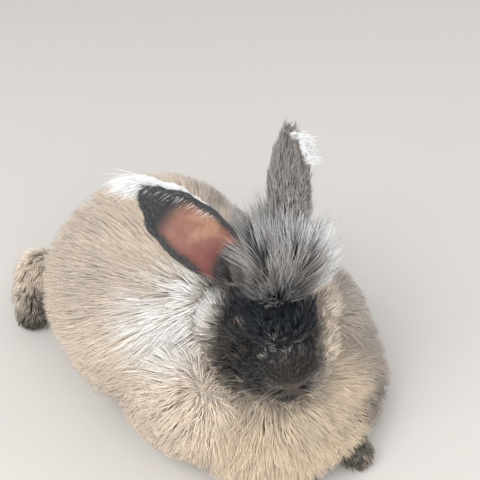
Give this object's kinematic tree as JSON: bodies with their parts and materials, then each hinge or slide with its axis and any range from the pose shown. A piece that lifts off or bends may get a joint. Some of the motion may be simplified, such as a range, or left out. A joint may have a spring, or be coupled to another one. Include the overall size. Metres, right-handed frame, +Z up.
{
  "type": "angora rabbit",
  "caption": "Life-size still angora rabbit lying on its belly, with a long woolly coat, upright tasselled ears and one hind foot out at its side.",
  "frame": {"origin": "the point on the belly's flat, at floor level, under the middle of the trunk", "axes": "+Z up, -Y the way the body faces, +X towards the rabbit's left side; the head is turned towards its right"},
  "size_m": [0.221, 0.3614, 0.2537],
  "materials": {
    "wool": "long soft wool",
    "smoke_fur": "short dense fur",
    "eye": "wet, glossy"
  },
  "bodies": {
    "root": {"torso": "wool", "neck": "wool", "head": "smoke_fur", "ear_right": "smoke_fur", "ear_left": "smoke_fur", "eye_right": "eye", "eye_left": "eye", "foreleg_right": "smoke_fur", "foreleg_left": "smoke_fur", "hindleg_right": "smoke_fur", "hindleg_left": "smoke_fur", "tail": "smoke_fur"}
  },
  "joints": []
}
